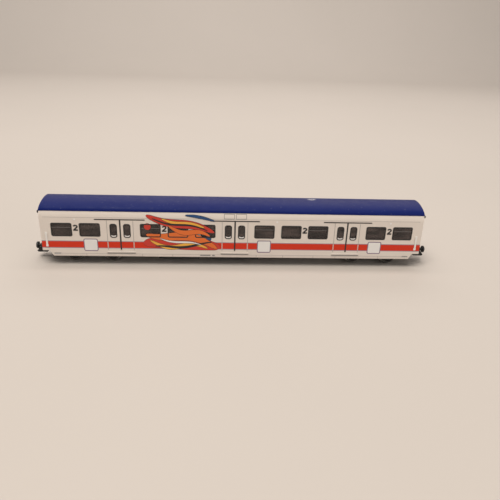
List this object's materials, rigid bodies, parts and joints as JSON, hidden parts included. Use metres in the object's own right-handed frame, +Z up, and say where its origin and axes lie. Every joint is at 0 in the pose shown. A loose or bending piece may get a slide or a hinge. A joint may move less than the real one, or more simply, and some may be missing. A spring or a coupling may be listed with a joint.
{
  "type": "model railway passenger coach",
  "caption": "Scale model passenger coach for narrow model track: white body with double doors, blue clip-on roof, swivelling bogies, free wheelsets and hooked couplers.",
  "frame": {"origin": "middle of the coach on the surface that the wheel flanges stand on", "axes": "+X along the coach towards its front end, +Y towards its left side, +Z up"},
  "size_m": [0.1684, 0.0184, 0.0272],
  "materials": {
    "body_white": "white moulded shell with printed stripe, satin",
    "roof_blue": "deep blue moulded shell, satin",
    "rail_white": "white painted handrail",
    "window_glass": "dark tinted clear plastic",
    "bellows_rubber": "black, matt",
    "lamp_red": "dark red lens",
    "ballast_steel": "rolled strip",
    "interior_plastic": "grey-brown moulded interior",
    "seat_plastic": "brown moulded seats",
    "wheel_metal": "blackened nickel, tread worn bright",
    "underframe_plastic": "black moulded plastic"
  },
  "bodies": {
    "coach_body": {"side_wall_left": "body_white", "side_wall_right": "body_white", "handrails_left": "rail_white", "handrails_right": "rail_white", "roof": "roof_blue", "glazing_left": "window_glass", "glazing_right": "window_glass", "end_wall_front": "body_white", "end_wall_rear": "body_white", "gangway_door_front": "body_white", "gangway_door_rear": "body_white", "gangway_glass_front": "window_glass", "gangway_glass_rear": "window_glass", "gangway_bellows_front": "bellows_rubber", "gangway_bellows_rear": "bellows_rubber", "buffers_front": "underframe_plastic", "buffers_rear": "underframe_plastic", "tail_lamps_front": "lamp_red", "tail_lamps_rear": "lamp_red", "underframe": "underframe_plastic", "ballast_plate": "ballast_steel", "interior_floor": "interior_plastic", "seats_left": "seat_plastic", "seats_right": "seat_plastic", "partitions": "interior_plastic", "battery_boxes": "underframe_plastic", "converter_box": "underframe_plastic", "air_reservoirs": "underframe_plastic", "pivot_pin_front": "underframe_plastic", "pivot_pin_rear": "underframe_plastic"},
    "bogie_front": {"bogie_frame_front": "underframe_plastic", "coupler_cover_front": "underframe_plastic"},
    "coupler_front": {"coupler_front": "underframe_plastic"},
    "wheelset_outer_front": {"wheels_outer_front": "wheel_metal", "axle_outer_front": "wheel_metal"},
    "wheelset_inner_front": {"wheels_inner_front": "wheel_metal", "axle_inner_front": "wheel_metal"},
    "bogie_rear": {"bogie_frame_rear": "underframe_plastic", "coupler_cover_rear": "underframe_plastic"},
    "coupler_rear": {"coupler_rear": "underframe_plastic"},
    "wheelset_outer_rear": {"wheels_outer_rear": "wheel_metal", "axle_outer_rear": "wheel_metal"},
    "wheelset_inner_rear": {"wheels_inner_rear": "wheel_metal", "axle_inner_rear": "wheel_metal"}
  },
  "joints": [
    {"name": "bogie_swing_front", "type": "hinge", "parent": "coach_body", "child": "bogie_front", "pos_m": [0.05937, 0, 0.006], "axis": [0, 0, 1], "range_deg": [-12, 12]},
    {"name": "coupler_lift_front", "type": "hinge", "parent": "bogie_front", "child": "coupler_front", "pos_m": [0.07508, 0, 0.0041], "axis": [0, -1, 0], "range_deg": [0, 6]},
    {"name": "wheelset_outer_front_spin", "type": "hinge", "parent": "bogie_front", "child": "wheelset_outer_front", "pos_m": [0.06717, 0, 0.00385], "axis": [0, 1, 0], "continuous": true},
    {"name": "wheelset_inner_front_spin", "type": "hinge", "parent": "bogie_front", "child": "wheelset_inner_front", "pos_m": [0.05158, 0, 0.00385], "axis": [0, 1, 0], "continuous": true},
    {"name": "bogie_swing_rear", "type": "hinge", "parent": "coach_body", "child": "bogie_rear", "pos_m": [-0.05937, 0, 0.006], "axis": [0, 0, 1], "range_deg": [-12, 12]},
    {"name": "coupler_lift_rear", "type": "hinge", "parent": "bogie_rear", "child": "coupler_rear", "pos_m": [-0.07508, 0, 0.0041], "axis": [0, 1, 0], "range_deg": [0, 6]},
    {"name": "wheelset_outer_rear_spin", "type": "hinge", "parent": "bogie_rear", "child": "wheelset_outer_rear", "pos_m": [-0.06717, 0, 0.00385], "axis": [0, 1, 0], "continuous": true},
    {"name": "wheelset_inner_rear_spin", "type": "hinge", "parent": "bogie_rear", "child": "wheelset_inner_rear", "pos_m": [-0.05158, 0, 0.00385], "axis": [0, 1, 0], "continuous": true}
  ]
}
